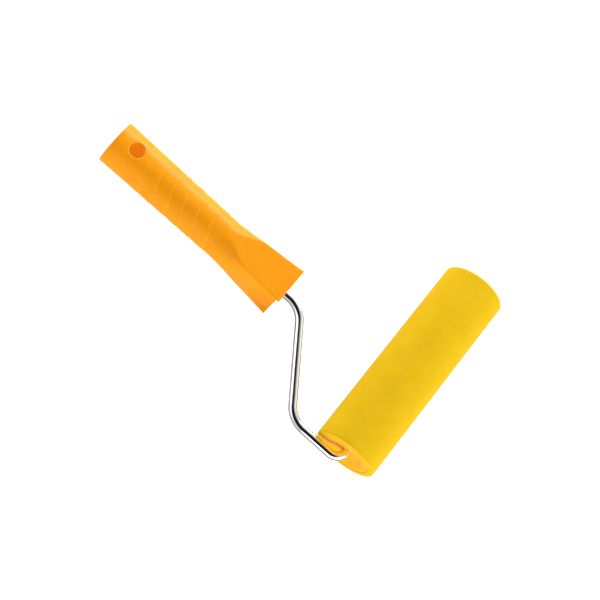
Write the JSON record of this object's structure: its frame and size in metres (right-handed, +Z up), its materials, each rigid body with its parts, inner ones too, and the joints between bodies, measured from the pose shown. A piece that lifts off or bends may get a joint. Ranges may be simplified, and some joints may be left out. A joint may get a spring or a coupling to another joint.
{
  "type": "paint roller",
  "caption": "Smooth rubber-sleeved paint roller on a bent wire frame with a moulded grip that has a hanging hole and a pole socket.",
  "frame": {"origin": "on the surface the roller lies on, under the centre of its bounding box", "axes": "+X along the roller's axle towards the side where the rod enters, +Y from the butt of the grip to the roller, +Z up; the roller and the butt rest on z = 0"},
  "size_m": [0.159, 0.2672, 0.045],
  "materials": {
    "sleeve_rubber": "smooth ground rubber, satin",
    "cap_plastic": "moulded polypropylene, semi-gloss",
    "grip_plastic": "moulded polypropylene, semi-gloss",
    "tube_plastic": "extruded polypropylene",
    "bush_plastic": "turned acetal",
    "chromed_rod": "drawn steel wire, bright chrome",
    "washer_steel": "stamped spring steel, oiled"
  },
  "bodies": {
    "frame": {"handle_shell": "grip_plastic", "frame_rod": "chromed_rod", "inner_thrust_washer": "washer_steel", "outer_thrust_washer": "washer_steel", "inner_retaining_ring": "washer_steel", "outer_retaining_ring": "washer_steel"},
    "roller": {"roller_sleeve": "sleeve_rubber", "core_tube": "tube_plastic", "near_end_cap": "cap_plastic", "far_end_cap": "cap_plastic", "near_bush": "bush_plastic", "far_bush": "bush_plastic"}
  },
  "joints": [
    {"name": "roller_spin", "type": "hinge", "parent": "frame", "child": "roller", "pos_m": [-0.0045, 0.11107, 0.0225], "axis": [1, 0, 0], "continuous": true}
  ]
}
